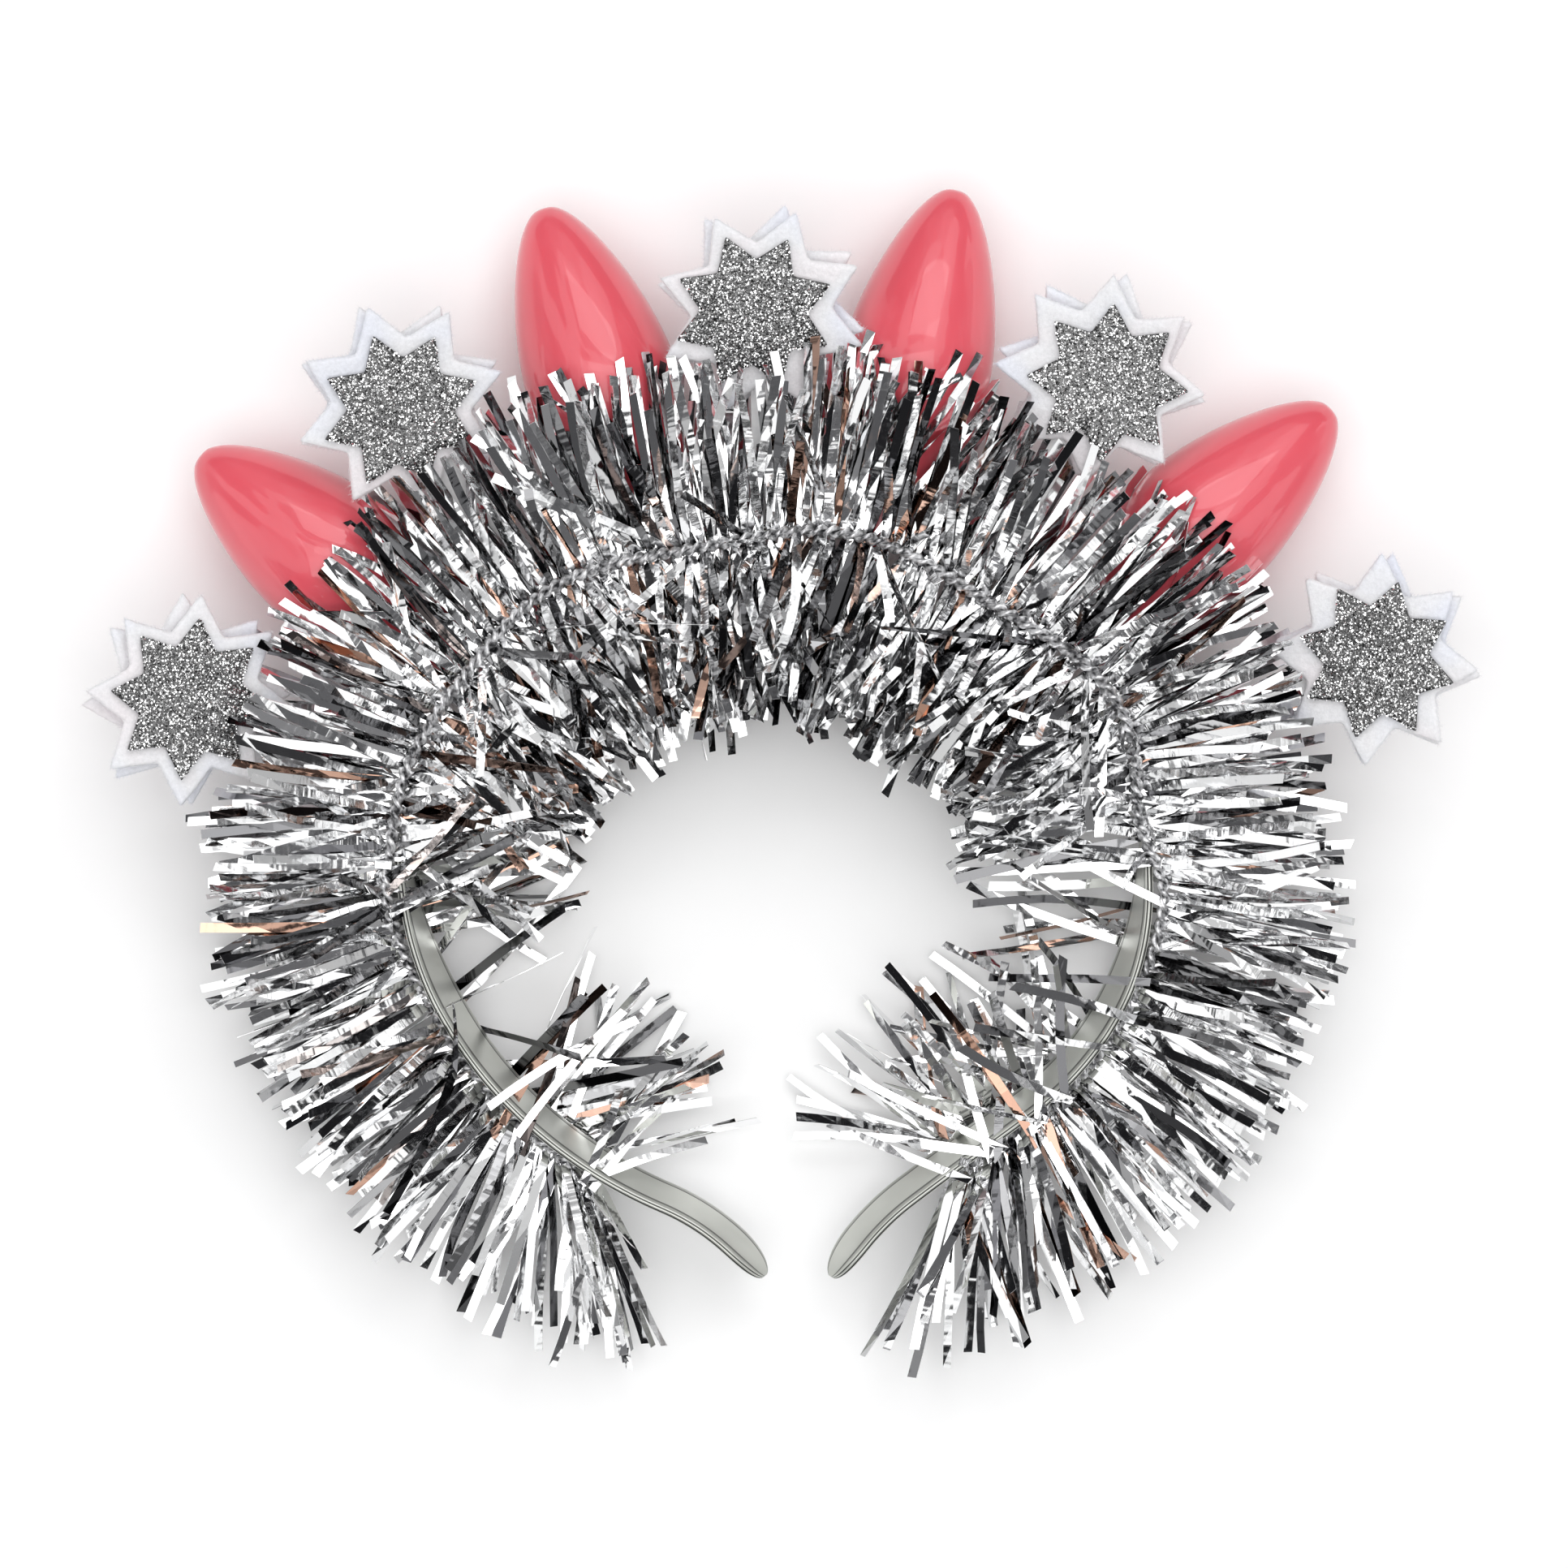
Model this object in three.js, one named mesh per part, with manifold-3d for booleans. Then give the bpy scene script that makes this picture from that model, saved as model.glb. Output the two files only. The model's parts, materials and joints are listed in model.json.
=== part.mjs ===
// A costume headband lying on its side: a thin C-shaped plastic band, a tinsel garland tied along it, four
// pointed bulbs standing on the band and five leaning felt stars with glitter faces between them.
// Millimetres. The band's arch is parallel to XY with its crown towards +Y, and the front faces +Z.
import * as THREE from "three";
import { mergeVertices } from "three/addons/utils/BufferGeometryUtils.js";
import Module from "manifold-3d";

const wasm = await Module();
wasm.setup();

// Band
const archWidth = 126; // between the middle lines of the two sides
const bandWidth = 9;
const bandThickness = 1.4;
const bandEdge = 0.6; // how far the two long edges are rounded
const bandStep = 6; // longest facet along the band
const legTilt = 26; // degrees that the legs' front edges lean outwards, which shows their inner face
const tiltFrom = 0.66; // where the legs begin to tilt and over what length, as shares of archWidth
const tiltOver = 0.3;
const tipRound = 8; // length in which each free end narrows
const tipShare = 0.34; // width left at the very end, as a share of the band's

// Garland
const coreRadius = 1;
const coreSides = 6;
const coreStep = 7;
const coreGap = 0.6;
const coreMeander = 2.4; // how far the core strays inwards from the band's front edge
const meanderLength = 52;
const coreOnSide = 0.8; // where the core runs on a leg: 0 is the front edge, 1 the middle of the outer face
const bareLeft = 32; // length of band left bare at each free end
const bareRight = 26;
const stripReach = 31.5; // from the core to a strip's end
const lockPitch = 12.6; // between two turns of locks round the core
const lockRoot = 1.2; // width of a lock at the core, and at its end
const lockEnd = 5.2;
const lockThickness = 0.8;
const shortestLock = 6;
const lockRest = 0.55; // height of the lowest locks' ends above the surface
const endFan = 40; // degrees that the last locks spread past each end of the garland, and over what length
const fanLength = 22;

// Bulbs
const bulbLength = 59;
const bulbRadius = 12.8;
const bulbSides = 18;

// Stars
const feltRadius = 17.9;
const feltValley = 0.655; // the valleys between the points, as a share of the radius
const feltThickness = 1.5;
const glitterRadius = 13.6;
const glitterThickness = 0.8;
const starPoints = 8;
const starLean = 18; // degrees that a star leans to the front, past the bulbs beside it
const starSeat = 2; // how far in front of the band's middle plane a star's post stands
const postWidth = 4;
const postThickness = 1;

const gap = 0.3; // between pieces that are fixed to each other
const midHeight = bulbRadius; // height of the band's middle plane: the bulbs lie on the surface

// Each leg from the middle of the crown to its free end. Lengths are shares of archWidth, turns are degrees
// towards the middle of the arch.
const crownArc = { length: 0.497, turn: 50 };
const shoulderArc = { length: 0.199, turn: 42 };
const legs = {
  left: [
    crownArc,
    shoulderArc,
    { length: 0.47, turn: 48 },
    { length: 0.185, turn: 17 },
    { length: 0.17, turn: -31 },
  ],
  right: [
    crownArc,
    shoulderArc,
    { length: 0.086, turn: 1 },
    { length: 0.348, turn: 51 },
    { length: 0.196, turn: -1 },
    { length: 0.152, turn: -24 },
  ],
};

// Where each bulb stands: the band's turn from the crown, negative on the left, the bulb's own lean from the
// band's outward direction, clockwise, and how much of it stands out, as a share of bulbLength.
const bulbs = [
  { turn: -46.6, lean: -5.4, stands: 0.94 },
  { turn: -15.6, lean: -3.4, stands: 1 },
  { turn: 13.9, lean: -0.9, stands: 1.015 },
  { turn: 43.8, lean: 4.2, stands: 1 },
];

// A bulb's outline: height and width as shares of its length and radius.
const bulbOutline = [
  { up: 0, wide: 0 },
  { up: 0, wide: 0.37 },
  { up: 0.1, wide: 0.39 },
  { up: 0.19, wide: 0.5 },
  { up: 0.28, wide: 0.68 },
  { up: 0.36, wide: 0.85 },
  { up: 0.43, wide: 0.96 },
  { up: 0.5, wide: 1 },
  { up: 0.6, wide: 0.95 },
  { up: 0.7, wide: 0.85 },
  { up: 0.79, wide: 0.72 },
  { up: 0.87, wide: 0.57 },
  { up: 0.93, wide: 0.42 },
  { up: 0.975, wide: 0.26 },
  { up: 1, wide: 0 },
];

// The stars: the band's turn, the reach from the band to the star's middle as a share of stripReach, the turn
// of each layer in degrees, and how far the glitter lies off the felt's middle, as shares of feltRadius.
const stars = [
  { turn: -74.7, reach: 1.195, front: 10, back: 18, glitter: 9, aside: 0.01, out: 0.03 },
  { turn: -34, reach: 1.275, front: -15.5, back: -11.5, glitter: -13.5, aside: -0.02, out: -0.01 },
  { turn: -1, reach: 1.175, front: 25, back: 31, glitter: 19, aside: -0.07, out: 0.02 },
  { turn: 29.5, reach: 1.275, front: 21.5, back: 15.5, glitter: 24.5, aside: 0.08, out: 0.02 },
  { turn: 70.4, reach: 1.36, front: 20.5, back: 16.5, glitter: 9.5, aside: 0.01, out: 0.05 },
];

// The locks in one turn round the core: lean in degrees from the outward direction to the front, reach as a
// share of stripReach, and place along the core as a share of lockPitch.
const turnOfLocks = [
  { lean: -24, reach: 1, place: 0 },
  { lean: 168, reach: 1.06, place: 0.1 },
  { lean: 40, reach: 0.94, place: 0.2 },
  { lean: 206, reach: 1.04, place: 0.35 },
  { lean: 4, reach: 1.02, place: 0.45 },
  { lean: 132, reach: 0.86, place: 0.55 },
  { lean: 72, reach: 0.7, place: 0.65 },
  { lean: -8, reach: 1, place: 0.75 },
  { lean: 188, reach: 1.08, place: 0.85 },
];

const looks = {
  headband: { color: 0xc9cbc8, roughness: 0.22, metalness: 0.9 },
  tinsel: { color: 0xd4d6d8, roughness: 0.12, metalness: 1 },
  bulb: { color: 0xe5707a, roughness: 0.2, metalness: 0 },
  felt: { color: 0xdcdce4, roughness: 0.95, metalness: 0 },
  glitter: { color: 0xb4b6b8, roughness: 0.45, metalness: 0.8 },
  post: { color: 0xd8d8d8, roughness: 0.6, metalness: 0 },
};

const radians = THREE.MathUtils.degToRad;

// A geometry as a solid that can be joined and cut, and back again
function toSolid(geometry) {
  const bare = new THREE.BufferGeometry();
  bare.setAttribute("position", geometry.getAttribute("position"));
  bare.setIndex(geometry.getIndex());
  const merged = mergeVertices(bare);
  return new wasm.Manifold(
    new wasm.Mesh({
      numProp: 3,
      vertProperties: Float32Array.from(merged.getAttribute("position").array),
      triVerts: Uint32Array.from(merged.getIndex().array),
    }),
  );
}

function toGeometry(solid) {
  const { vertProperties, triVerts } = solid.getMesh();
  const geometry = new THREE.BufferGeometry();
  geometry.setAttribute("position", new THREE.BufferAttribute(vertProperties, 3));
  geometry.setIndex(new THREE.BufferAttribute(triVerts, 1));
  geometry.computeVertexNormals();
  return geometry;
}

// Moves every corner of a geometry to where place() puts it
function reshape(geometry, place) {
  const corners = geometry.getAttribute("position");
  for (let i = 0; i < corners.count; i++) {
    const { x, y, z } = place(corners.getX(i), corners.getY(i), corners.getZ(i));
    corners.setXYZ(i, x, y, z);
  }
  geometry.computeVertexNormals();
  return geometry;
}

function legLength(leg) {
  return leg.reduce((sum, arc) => sum + arc.length * archWidth, 0);
}

// The band's middle line at a distance from the crown's middle, negative on the left
function middleLine(distance) {
  const side = distance < 0 ? -1 : 1;
  let left = Math.abs(distance);
  let heading = 0;
  let x = 0;
  let y = 0;
  for (const arc of side < 0 ? legs.left : legs.right) {
    const length = arc.length * archWidth;
    const run = Math.min(left, length);
    const bend = (radians(arc.turn) * run) / length;
    const chord = run * (bend === 0 ? 1 : Math.sin(bend / 2) / (bend / 2));
    x += chord * Math.cos(heading + bend / 2);
    y -= chord * Math.sin(heading + bend / 2);
    heading += bend;
    left -= run;
  }
  return { x: side * x, y, heading: side * heading };
}

function tiltAt(distance) {
  const from = tiltFrom * archWidth;
  return radians(legTilt) * THREE.MathUtils.smoothstep(Math.abs(distance), from, from + tiltOver * archWidth);
}

// Axes at a place on the band: x outwards, y towards the front edge, z along the band to the right
function bandAxes(distance, tilt = tiltAt(distance)) {
  const { x, y, heading } = middleLine(distance);
  const along = new THREE.Vector3(Math.cos(heading), -Math.sin(heading), 0);
  const outwards = new THREE.Vector3(Math.sin(heading), Math.cos(heading), 0);
  const front = new THREE.Vector3(0, 0, 1);
  outwards.applyAxisAngle(along, -tilt);
  front.applyAxisAngle(along, -tilt);
  return new THREE.Matrix4().makeBasis(outwards, front, along).setPosition(x, y, midHeight);
}

function onBand(distance, out, front) {
  return new THREE.Vector3(out, front, 0).applyMatrix4(bandAxes(distance));
}

// The distance from the crown's middle at which the band has turned by so many degrees
function distanceAt(turn) {
  const size = Math.abs(turn);
  const onCrown = Math.min(size / crownArc.turn, 1) * crownArc.length;
  const onShoulder = (Math.max(size - crownArc.turn, 0) / shoulderArc.turn) * shoulderArc.length;
  return Math.sign(turn) * (onCrown + onShoulder) * archWidth;
}

// Stations along the band from the left end to the right one. Half a step lies on each side of the crown's
// middle, so that the crown has one flat facet there.
function bandStations() {
  const stations = [];
  for (const [side, leg] of [[-1, legs.left], [1, legs.right]]) {
    const length = legLength(leg);
    const steps = Math.ceil((length - tipRound) / bandStep - 0.5);
    const step = (length - tipRound) / (steps + 0.5);
    for (let i = 0; i <= steps; i++) {
      stations.push(side * step * (i + 0.5));
    }
    for (const share of [0.4, 0.7, 0.9, 1]) {
      stations.push(side * (length - tipRound * (1 - share)));
    }
  }
  return stations.sort((a, b) => a - b);
}

function bandWidthAt(distance) {
  const toEnd = legLength(distance < 0 ? legs.left : legs.right) - Math.abs(distance);
  const share = THREE.MathUtils.clamp(1 - toEnd / tipRound, 0, 1);
  return Math.sqrt(1 - (1 - tipShare ** 2) * share ** 2);
}

function bandGeometry(grow = 0) {
  const thick = bandThickness / 2 + grow;
  const wide = bandWidth / 2 + grow;
  const section = new THREE.Shape(
    [[1, -1], [1, 1], [-1, 1], [-1, -1]].flatMap(([x, y]) => {
      const flat = new THREE.Vector2(x * thick, y * (wide - bandEdge));
      const edge = new THREE.Vector2((x * thick) / 2, y * wide);
      return x === y ? [flat, edge] : [edge, flat];
    }),
  );
  const stations = bandStations();
  const steps = stations.length - 1;
  const bar = new THREE.ExtrudeGeometry(section, { depth: steps, steps, bevelEnabled: false });
  return reshape(bar, (x, y, z) => {
    const distance = stations[Math.round(z)];
    return onBand(distance, x, y * bandWidthAt(distance));
  });
}

// A frame on the band's outer face: x along the band, y outwards and turned by its lean, z to the front
function seatAxes(turn, clockwise, forward, height) {
  const distance = distanceAt(turn);
  const { x, y, heading } = middleLine(distance);
  const seat = new THREE.Matrix4().makeRotationZ(-heading);
  seat.setPosition(x, y, height);
  seat.multiply(new THREE.Matrix4().makeTranslation(0, bandThickness / 2, 0));
  seat.multiply(new THREE.Matrix4().makeRotationZ(-radians(clockwise)));
  return seat.multiply(new THREE.Matrix4().makeRotationX(radians(forward)));
}

function bulbGeometry({ turn, lean, stands }, grow = 0) {
  const foot = gap + bulbOutline[1].wide * bulbRadius * Math.sin(Math.abs(radians(lean)));
  const profile = bulbOutline.map(({ up, wide }) => {
    const radius = wide === 0 ? 0 : wide * bulbRadius + grow;
    return new THREE.Vector2(radius, foot - grow + up * (bulbLength * stands - foot + 2 * grow));
  });
  return new THREE.LatheGeometry(profile, bulbSides).applyMatrix4(seatAxes(turn, lean, 0, midHeight));
}

// A flat star whose first point is turned by so many degrees, between two heights over the star's plane
function starGeometry(star, radius, spin, aside, out, from, to) {
  const outline = new THREE.Shape();
  for (let i = 0; i < 2 * starPoints; i++) {
    const angle = radians(spin) + (Math.PI * i) / starPoints;
    const reach = i % 2 === 0 ? radius : radius * feltValley;
    outline.lineTo(reach * Math.cos(angle), reach * Math.sin(angle));
  }
  outline.curves.shift();
  const plate = new THREE.ExtrudeGeometry(outline, { depth: to - from, bevelEnabled: false });
  plate.translate(aside, star.reach * stripReach + out, from);
  return plate.applyMatrix4(seatAxes(star.turn, 0, starLean, midHeight + starSeat));
}

function postGeometry(star, grow = 0) {
  const foot = gap + postThickness * Math.sin(radians(starLean));
  const length = star.reach * stripReach + feltRadius / 4 - foot;
  const post = new THREE.BoxGeometry(postWidth + 2 * grow, length + 2 * grow, postThickness + 2 * grow);
  post.translate(0, foot + length / 2, 0);
  return post.applyMatrix4(seatAxes(star.turn, 0, starLean, midHeight + starSeat));
}

const feltFloor = postThickness / 2 + gap;
const feltTop = feltFloor + feltThickness;
const glitterTop = feltTop + gap + glitterThickness;

function starLayers(star) {
  const { front, back, glitter, aside, out } = star;
  return {
    front: starGeometry(star, feltRadius, front, 0, 0, feltFloor, feltTop),
    back: starGeometry(star, feltRadius, back, 0, 0, -feltTop, -feltFloor),
    glitter: starGeometry(
      star, glitterRadius, glitter, aside * feltRadius, out * feltRadius, feltTop + gap, glitterTop,
    ),
    post: postGeometry(star),
  };
}

// Round plate that encloses a star's layers
function starRoom(star, grow) {
  const depth = feltTop + glitterTop + 2 * grow;
  const plate = new THREE.CylinderGeometry(feltRadius + grow, feltRadius + grow, depth, 2 * starPoints);
  plate.rotateX(Math.PI / 2);
  plate.translate(0, star.reach * stripReach, (glitterTop - feltTop) / 2);
  return plate.applyMatrix4(seatAxes(star.turn, 0, starLean, midHeight + starSeat));
}

// The core's path: along the band's front edge over the crown, round that edge below the shoulders and down
// the outer face of each leg. Share 0 is over the middle of the front edge, 1 beside the middle of the face.
function roundTheEdge(share) {
  const clear = coreGap + coreRadius;
  const corner = (clear * Math.PI) / 2;
  const walked = share * (bandThickness / 2 + corner + bandWidth / 2);
  const turned = THREE.MathUtils.clamp((walked - bandThickness / 2) / clear, 0, Math.PI / 2);
  const onFace = Math.max(walked - bandThickness / 2 - corner, 0);
  return {
    out: Math.min(walked, bandThickness / 2) + clear * Math.sin(turned),
    front: bandWidth / 2 + clear * Math.cos(turned) - onFace,
  };
}

function sideShare(distance) {
  const from = tiltFrom * archWidth;
  return THREE.MathUtils.smoothstep(Math.abs(distance), from, from + tiltOver * archWidth);
}

function corePoint(distance) {
  const side = sideShare(distance);
  const { out, front } = roundTheEdge(coreOnSide * side);
  const wave = 0.5 - 0.5 * Math.sin((2 * Math.PI * distance) / meanderLength);
  const stray = coreMeander * Math.max(1 - 3 * side, 0) * wave;
  return { out: out - stray, front };
}

const garlandFrom = bareLeft - legLength(legs.left);
const garlandTo = legLength(legs.right) - bareRight;

function coreGeometry() {
  const steps = Math.ceil((garlandTo - garlandFrom) / coreStep);
  const points = Array.from({ length: steps + 1 }, (_, i) => {
    const distance = THREE.MathUtils.lerp(garlandFrom, garlandTo, i / steps);
    const { out, front } = corePoint(distance);
    return onBand(distance, out, front);
  });
  const section = new THREE.Shape(
    Array.from({ length: coreSides }, (_, i) => {
      const angle = (2 * Math.PI * i) / coreSides;
      return new THREE.Vector2(coreRadius * Math.cos(angle), coreRadius * Math.sin(angle));
    }),
  );
  const extrudePath = new THREE.CatmullRomCurve3(points);
  return new THREE.ExtrudeGeometry(section, { steps, extrudePath, bevelEnabled: false });
}

// A flat lock through the given points, widening to its end, with its width turned towards `across`
function lockGeometry(points, across) {
  const steps = points.length - 1;
  const box = new THREE.BoxGeometry(1, 1, steps, 1, 1, steps);
  return reshape(box, (x, y, z) => {
    const i = Math.round(z + steps / 2);
    const along = points[Math.min(i + 1, steps)].clone().sub(points[Math.max(i - 1, 0)]).normalize();
    const normal = along.clone().cross(across).normalize();
    const wide = normal.clone().cross(along);
    const width = THREE.MathUtils.lerp(lockRoot, lockEnd, i / steps);
    return points[i].clone().addScaledVector(wide, x * width).addScaledVector(normal, y * lockThickness);
  });
}

const bandSolid = toSolid(bandGeometry(gap));
const keepClear = wasm.Manifold.union([
  bandSolid,
  ...bulbs.map((bulb) => toSolid(bulbGeometry(bulb, gap))),
  ...stars.map((star) => toSolid(starRoom(star, gap))),
  ...stars.map((star) => toSolid(postGeometry(star, gap))),
]);

// One lock, straight where it can be, else bent over the band's front edge, and shortened until it is clear
function makeLock(distance, lean, reach, sway) {
  const { out, front } = corePoint(distance);
  const root = onBand(distance, out, front);
  const axes = bandAxes(distance, 0);
  const across = new THREE.Vector3(0, 0, 1).transformDirection(axes);
  const direction = new THREE.Vector3(Math.cos(radians(lean)), Math.sin(radians(lean)), Math.sin(radians(sway)));
  direction.transformDirection(axes);
  const overEdge = onBand(distance, bandThickness / 2 + coreRadius, bandWidth / 2 + 2 * coreRadius);
  for (const share of [1, 0.85, 0.7, 0.55, 0.4, 0.25]) {
    const length = reach * share;
    if (length < shortestLock) {
      return null;
    }
    const end = root.clone().addScaledVector(direction, length);
    end.z = Math.max(end.z, lockRest);
    for (const points of [[root, end], [root, overEdge, end]]) {
      const lock = toSolid(lockGeometry(points, across));
      if (keepClear.intersect(lock).isEmpty()) {
        return lock;
      }
    }
  }
  return null;
}

// How far a lock is turned along the band, to the right, near the garland's ends
function fanAt(distance) {
  const left = Math.max(1 - (distance - garlandFrom) / fanLength, 0);
  const right = Math.max(1 - (garlandTo - distance) / fanLength, 0);
  return endFan * (right - left);
}

function garlandGeometry() {
  const locks = [];
  const turns = Math.floor((garlandTo - garlandFrom) / lockPitch);
  for (let turn = 0; turn < turns; turn++) {
    turnOfLocks.forEach(({ lean, reach, place }, row) => {
      const distance = garlandFrom + ((turn + place) / turns) * (garlandTo - garlandFrom);
      const count = turn * turnOfLocks.length + row;
      const inwards = lean > 90;
      if (inwards && sideShare(distance) > 0.5 && count % 2 !== 0) {
        return;
      }
      const uneven = 1 - 0.14 * ((count * 0.618) % 1);
      const sway = 9 * Math.sin(count * 2.4) + fanAt(distance);
      const lock = makeLock(distance, lean, reach * stripReach * uneven, sway);
      if (lock) {
        locks.push(lock);
      }
    });
  }
  return toGeometry(wasm.Manifold.union([toSolid(coreGeometry()), ...locks]));
}

const model = new THREE.Group();

function addPiece(name, geometry, look) {
  const mesh = new THREE.Mesh(geometry, new THREE.MeshStandardMaterial(look));
  mesh.name = name;
  model.add(mesh);
}

addPiece("headband", bandGeometry(), looks.headband);
addPiece("tinsel_garland", garlandGeometry(), looks.tinsel);
bulbs.forEach((bulb, i) => addPiece(`bulb_${i + 1}`, bulbGeometry(bulb), looks.bulb));
stars.forEach((star, i) => {
  const { front, back, glitter, post } = starLayers(star);
  addPiece(`star_${i + 1}_front`, front, looks.felt);
  addPiece(`star_${i + 1}_back`, back, looks.felt);
  addPiece(`star_${i + 1}_glitter`, glitter, looks.glitter);
  addPiece(`star_${i + 1}_post`, post, looks.post);
});

// The origin is at the middle of the underside
const room = new THREE.Box3().setFromObject(model);
const middle = room.getCenter(new THREE.Vector3());
model.position.set(-middle.x, -middle.y, -room.min.z);
const headwear = new THREE.Group();
headwear.add(model);

export default headwear;
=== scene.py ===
import json
import math

import bpy
import numpy as np
from mathutils import Matrix, Vector

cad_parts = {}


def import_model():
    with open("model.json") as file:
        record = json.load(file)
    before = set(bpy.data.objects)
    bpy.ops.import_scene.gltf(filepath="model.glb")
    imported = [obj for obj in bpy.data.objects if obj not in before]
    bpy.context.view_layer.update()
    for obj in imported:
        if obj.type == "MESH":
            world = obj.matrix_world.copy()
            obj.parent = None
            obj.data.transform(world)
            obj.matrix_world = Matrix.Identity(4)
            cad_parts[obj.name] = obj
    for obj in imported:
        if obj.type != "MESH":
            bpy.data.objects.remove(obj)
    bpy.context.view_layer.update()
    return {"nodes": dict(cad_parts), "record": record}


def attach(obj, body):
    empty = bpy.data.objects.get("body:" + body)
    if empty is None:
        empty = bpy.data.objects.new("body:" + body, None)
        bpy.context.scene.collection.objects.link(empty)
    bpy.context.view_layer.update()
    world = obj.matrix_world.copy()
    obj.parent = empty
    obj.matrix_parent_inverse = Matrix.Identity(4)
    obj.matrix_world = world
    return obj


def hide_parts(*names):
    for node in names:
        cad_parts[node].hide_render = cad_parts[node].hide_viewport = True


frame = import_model()
MM = 0.001

# Sizes, in millimetres
ARCH = 126.0
BAND_W, BAND_T = 9.0, 1.4
# The band's arcs from the middle of the crown to each free end: length as a share of ARCH, turn in degrees
CROWN, SHOULDER = (0.497, 50), (0.199, 42)
LEFT = [CROWN, SHOULDER, (0.47, 48), (0.185, 17), (0.17, -31)]
RIGHT = [CROWN, SHOULDER, (0.086, 1), (0.348, 51), (0.196, -1), (0.152, -24)]
LEG_TILT, TILT_FROM, TILT_OVER = 26.0, 0.66 * ARCH, 0.3 * ARCH
CORE_R, CORE_GAP, MEANDER, MEANDER_L, CORE_ON_SIDE = 1.0, 0.6, 2.4, 52.0, 0.8
STRAND_R, STRAND_OFF, STRAND_PITCH, STRAND_LIFT = 0.58, 0.56, 4.2, 0.9
BARE_L, BARE_R = 32.0, 26.0
REACH = 31.5
BULB_L, BULB_R = 59.0, 12.8
# Each bulb's turn from the crown, lean, and share of its length that stands out
BULBS = [(-46.6, -5.4, 0.94), (-15.6, -3.4, 1.0), (13.9, -0.9, 1.015), (43.8, 4.2, 1.0)]
# A bulb's outline: height and width as shares of its length and radius
PROFILE = [
    (0, 0.37), (0.1, 0.39), (0.19, 0.5), (0.28, 0.68), (0.36, 0.85), (0.43, 0.96), (0.5, 1.0), (0.6, 0.95),
    (0.7, 0.85), (0.79, 0.72), (0.87, 0.57), (0.93, 0.42), (0.975, 0.26), (1.0, 0.0),
]
FELT_R, VALLEY, FELT_T, GLITTER_R, GLITTER_T = 17.9, 0.655, 1.5, 13.6, 0.8
STAR_LEAN, STAR_SEAT, POST_T, GAP = 18.0, 2.0, 1.0, 0.3
FLAKES, FLAKE_SMALL, FLAKE_LARGE = 6500, 0.13, 0.22
MID_Z = BULB_R
# Each star: turn, reach, the turns of its front, back and glitter layers, and how far the glitter lies aside
STARS = [
    (-74.7, 1.195, 10, 18, 9, 0.01, 0.03),
    (-34, 1.275, -15.5, -11.5, -13.5, -0.02, -0.01),
    (-1, 1.175, 25, 31, 19, -0.07, 0.02),
    (29.5, 1.275, 21.5, 15.5, 24.5, 0.08, 0.02),
    (70.4, 1.36, 20.5, 16.5, 9.5, 0.01, 0.05),
]


# The band's path
def leg_table(leg, step=0.25):
    """Rows along one leg: distance from the crown's middle, x, y and heading."""
    x = y = h = 0.0
    rows = [(0.0, x, y, h)]
    s = 0.0
    for share, turn in leg:
        length = share * ARCH
        n = max(int(round(length / step)), 1)
        ds, dh = length / n, math.radians(turn) / n
        for _ in range(n):
            x += ds * math.cos(h + dh / 2)
            y -= ds * math.sin(h + dh / 2)
            h += dh
            s += ds
            rows.append((s, x, y, h))
    return np.array(rows)


left_table, right_table = leg_table(LEFT), leg_table(RIGHT)
LEN_L, LEN_R = left_table[-1, 0], right_table[-1, 0]
mirrored = left_table[:0:-1] * [-1, -1, 1, -1]
PATH = np.vstack([mirrored, right_table])

# The seat on the crown's inner face says where the path lies in the frame
SEAT = np.array(frame["record"]["mounts"][0]["pos_m"]) / MM
CROWN_SAG = 0.059
PATH[:, 1] += SEAT[0]
PATH[:, 2] += SEAT[1] + BAND_T / 2 + CROWN_SAG


def smooth(x, a, b):
    t = np.clip((x - a) / (b - a), 0, 1)
    return t * t * (3 - 2 * t)


def side_share(s):
    return smooth(np.abs(s), TILT_FROM, TILT_FROM + TILT_OVER)


def axes(s):
    s = np.asarray(s, float)
    x = np.interp(s, PATH[:, 0], PATH[:, 1])
    y = np.interp(s, PATH[:, 0], PATH[:, 2])
    h = np.interp(s, PATH[:, 0], PATH[:, 3])
    zero, one = np.zeros_like(s), np.ones_like(s)
    along = np.stack([np.cos(h), -np.sin(h), zero], -1)
    n = np.stack([np.sin(h), np.cos(h), zero], -1)
    z = np.stack([zero, zero, one], -1)
    t = (np.radians(LEG_TILT) * side_share(s))[..., None]
    u = n * np.cos(t) - z * np.sin(t)
    v = z * np.cos(t) + n * np.sin(t)
    p = np.stack([x, y, zero + MID_Z], -1)
    return p, u, v, along, n


def on_band(s, out, front):
    p, u, v, _, _ = axes(s)
    return p + u * np.asarray(out, float)[..., None] + v * np.asarray(front, float)[..., None]


def core_local(s):
    """How far the core lies outwards of the band's middle line and to its front."""
    side = side_share(s)
    clear = CORE_GAP + CORE_R
    corner = clear * math.pi / 2
    walked = CORE_ON_SIDE * side * (BAND_T / 2 + corner + BAND_W / 2)
    turned = np.clip((walked - BAND_T / 2) / clear, 0, math.pi / 2)
    on_face = np.maximum(walked - BAND_T / 2 - corner, 0)
    out = np.minimum(walked, BAND_T / 2) + clear * np.sin(turned)
    front = BAND_W / 2 + clear * np.cos(turned) - on_face
    wave = 0.5 - 0.5 * np.sin(2 * math.pi * s / MEANDER_L)
    return out - MEANDER * np.maximum(1 - 3 * side, 0) * wave, front


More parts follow.
